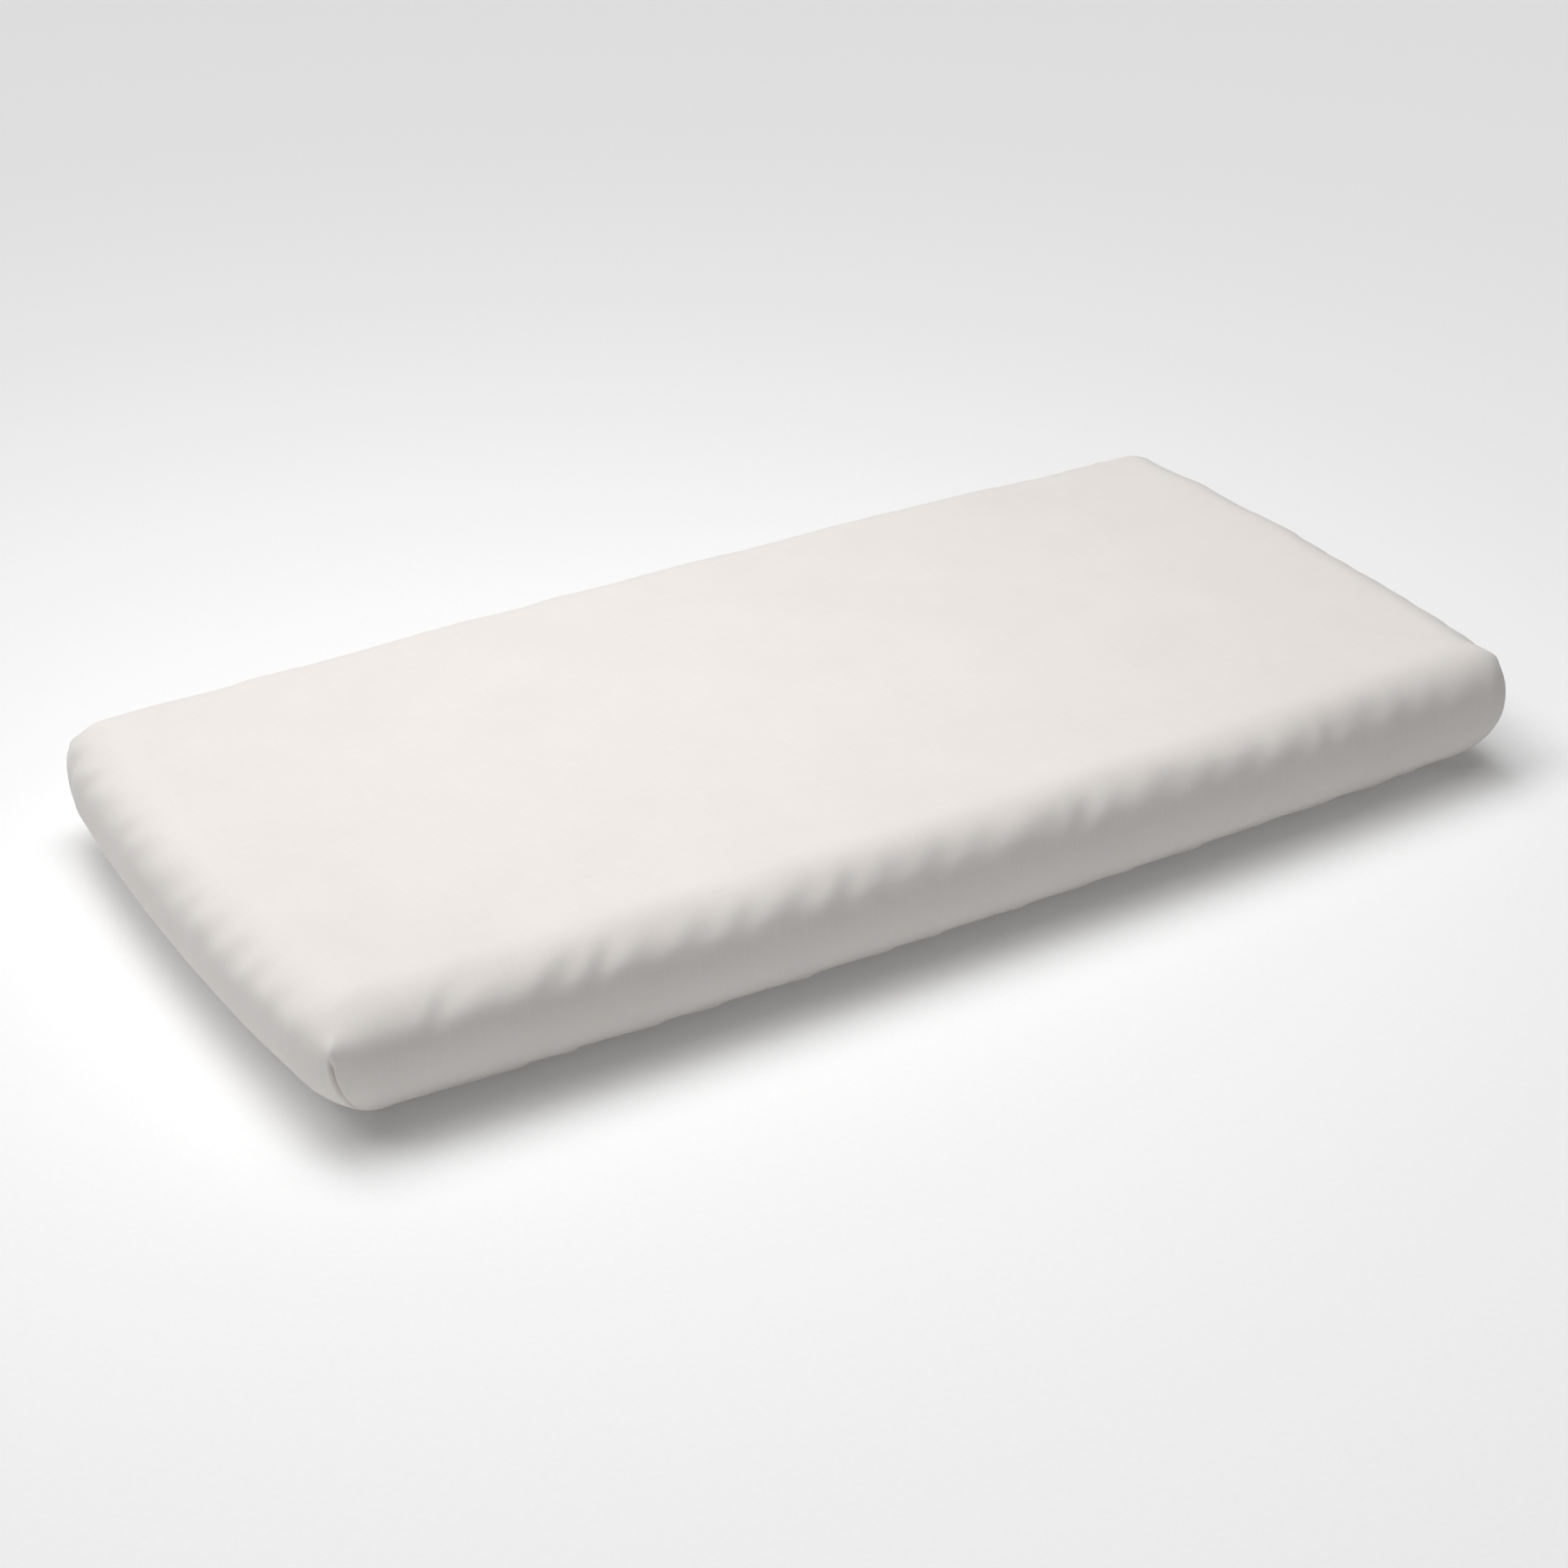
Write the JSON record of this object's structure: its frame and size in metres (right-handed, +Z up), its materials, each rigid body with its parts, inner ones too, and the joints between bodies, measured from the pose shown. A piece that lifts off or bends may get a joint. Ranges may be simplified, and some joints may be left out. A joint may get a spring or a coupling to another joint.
{
  "type": "changing pad",
  "caption": "Rectangular foam changing pad in a fitted cotton cover with darted corners and an elastic hem, over a zipped wipe-clean casing.",
  "frame": {"origin": "centre of the underside, on the plane the pad rests on", "axes": "+X along the pad's length towards the closed end of the zip, +Y across its width towards the back long side, +Z up through its thickness"},
  "size_m": [0.813, 0.406, 0.081],
  "materials": {
    "cover_cotton": "off-white fine plain-weave cotton, matte",
    "seam_thread": "overlocked cotton allowance with polyester thread",
    "elastic": "braided elastic, matte",
    "label_satin": "woven satin, blank",
    "casing_film": "soft polyurethane-coated knit, satin",
    "foam": "open-cell polyurethane foam, matte",
    "zip_cloth": "woven polyester tape, matte",
    "zip_nylon": "nylon coil, satin",
    "zip_metal": "plated zinc, satin"
  },
  "bodies": {
    "pad": {"cover_cloth": "cover_cotton", "cover_hem_elastic": "elastic", "cover_care_label": "label_satin", "cover_seam_front_left": "seam_thread", "cover_seam_back_left": "seam_thread", "cover_seam_front_right": "seam_thread", "cover_seam_back_right": "seam_thread", "casing_top_shell": "casing_film", "casing_base_front": "casing_film", "casing_base_back": "casing_film", "casing_seam_tape": "zip_cloth", "foam_core": "foam", "zip_tape_front": "zip_cloth", "zip_tape_back": "zip_cloth", "zip_teeth_front": "zip_nylon", "zip_teeth_back": "zip_nylon", "zip_top_stop_front": "zip_metal", "zip_top_stop_back": "zip_metal", "zip_bottom_stop": "zip_metal", "zip_end_tab_left": "casing_film", "zip_end_tab_right": "casing_film"},
    "slider": {"zip_slider": "zip_metal"},
    "pull": {"zip_pull_tab": "zip_metal"}
  },
  "joints": [
    {"name": "zip_slide", "type": "slide", "parent": "pad", "child": "slider", "axis": [-1, 0, 0], "range_m": [0, 0.549]},
    {"name": "pull_swing", "type": "hinge", "parent": "slider", "child": "pull", "pos_m": [0.2745, 0, 0.00225], "axis": [0, -1, 0], "range_deg": [0, 180]}
  ]
}
